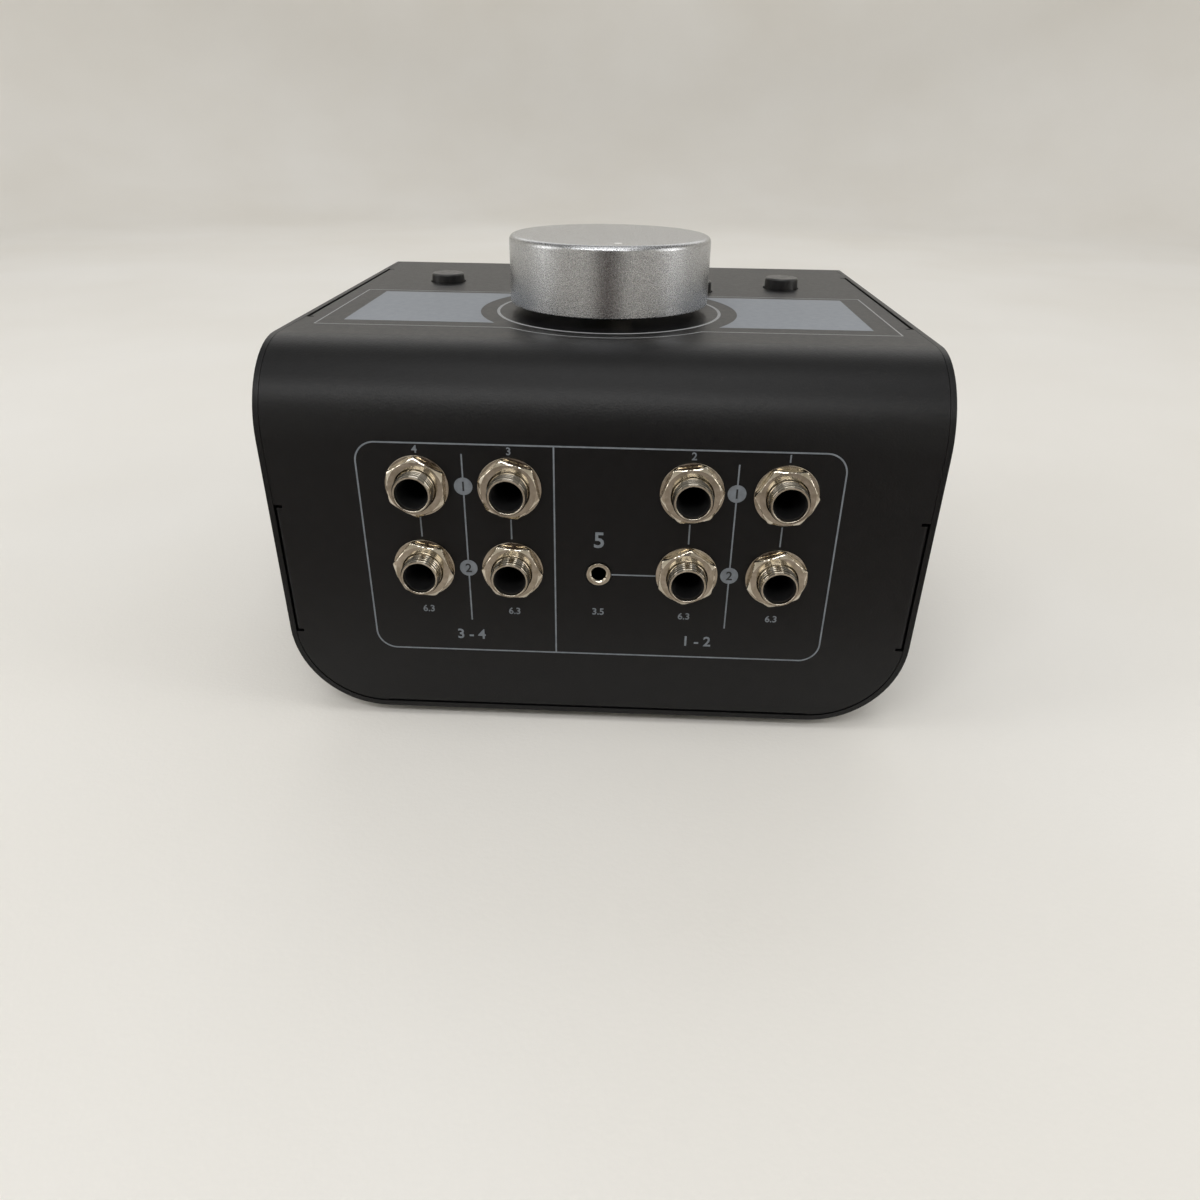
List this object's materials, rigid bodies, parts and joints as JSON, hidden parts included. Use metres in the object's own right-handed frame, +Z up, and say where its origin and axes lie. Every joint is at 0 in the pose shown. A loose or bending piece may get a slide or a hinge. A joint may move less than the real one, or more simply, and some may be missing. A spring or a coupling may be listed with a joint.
{
  "type": "studio monitor controller",
  "caption": "Desktop audio controller: folded steel case with a large volume knob and push buttons on top and phone jacks on the rear.",
  "frame": {"origin": "on the desk under the feet, at the middle of the whole part's box", "axes": "+Z up, +Y out of the rear jack panel, +X to the right of a user who faces the front"},
  "size_m": [0.1602, 0.1676, 0.1176],
  "materials": {
    "powder_black": "fine satin powder coat",
    "knob_silver": "bead blasted and clear anodised",
    "button_black": "moulded, satin",
    "nickel_plate": "bright nickel plate",
    "contact_bronze": "tinned spring bronze",
    "moulded_black": "moulded, satin",
    "board_green": "solder mask",
    "zinc_steel": "zinc plated",
    "foot_rubber": "matte",
    "ribbon_grey": "extruded"
  },
  "bodies": {
    "case": {"chassis_tray": "powder_black", "cover_shell": "powder_black", "rubber_feet": "foot_rubber", "case_screws": "zinc_steel", "jack_contacts": "contact_bronze", "jack_washers": "nickel_plate", "jack_nuts": "nickel_plate", "mini_jack_collar": "nickel_plate", "mini_jack_body": "moulded_black", "jack_board": "board_green", "control_board": "board_green", "board_standoffs": "zinc_steel", "board_screws": "zinc_steel", "ribbon_headers": "moulded_black", "ribbon_cable": "ribbon_grey", "pot_body": "zinc_steel", "pot_bushing": "nickel_plate", "pot_washer": "zinc_steel", "pot_nut": "nickel_plate", "jack_barrel_output_2_left": "nickel_plate", "jack_body_output_2_left": "moulded_black", "jack_barrel_output_2_right": "nickel_plate", "jack_body_output_2_right": "moulded_black", "jack_barrel_output_1_left": "nickel_plate", "jack_body_output_1_left": "moulded_black", "jack_barrel_output_1_right": "nickel_plate", "jack_body_output_1_right": "moulded_black", "jack_barrel_input_2_left": "nickel_plate", "jack_body_input_2_left": "moulded_black", "jack_barrel_input_2_right": "nickel_plate", "jack_body_input_2_right": "moulded_black", "jack_barrel_input_1_left": "nickel_plate", "jack_body_input_1_left": "moulded_black", "jack_barrel_input_1_right": "nickel_plate", "jack_body_input_1_right": "moulded_black", "switch_body_output": "moulded_black", "switch_body_dim": "moulded_black", "switch_body_mute": "moulded_black", "switch_body_mono": "moulded_black", "switch_body_source": "moulded_black"},
    "volume_knob": {"knob_cap": "knob_silver", "knob_insert": "moulded_black", "pot_shaft": "knob_silver"},
    "output_button": {"button_cap_output": "button_black", "switch_plunger_output": "moulded_black"},
    "dim_button": {"button_cap_dim": "button_black", "switch_plunger_dim": "moulded_black"},
    "mute_button": {"button_cap_mute": "button_black", "switch_plunger_mute": "moulded_black"},
    "mono_button": {"button_cap_mono": "button_black", "switch_plunger_mono": "moulded_black"},
    "source_button": {"button_cap_source": "button_black", "switch_plunger_source": "moulded_black"}
  },
  "joints": [
    {"name": "volume_turn", "type": "hinge", "parent": "case", "child": "volume_knob", "pos_m": [0, 0.0208, 0.098], "axis": [0, 0, 1], "range_deg": [-157, 143]},
    {"name": "output_press", "type": "slide", "parent": "case", "child": "output_button", "axis": [0, 0, 1], "range_m": [-0.0009, 0.0006]},
    {"name": "dim_press", "type": "slide", "parent": "case", "child": "dim_button", "axis": [0, 0, 1], "range_m": [-0.0015, 0], "stiffness_N_per_m": 600, "springref_m": 0.0005},
    {"name": "mute_press", "type": "slide", "parent": "case", "child": "mute_button", "axis": [0, 0, 1], "range_m": [-0.0015, 0], "stiffness_N_per_m": 600, "springref_m": 0.0005},
    {"name": "mono_press", "type": "slide", "parent": "case", "child": "mono_button", "axis": [0, 0, 1], "range_m": [-0.0015, 0], "stiffness_N_per_m": 600, "springref_m": 0.0005},
    {"name": "source_press", "type": "slide", "parent": "case", "child": "source_button", "axis": [0, 0, 1], "range_m": [-0.0015, 0], "stiffness_N_per_m": 600, "springref_m": 0.0005}
  ]
}
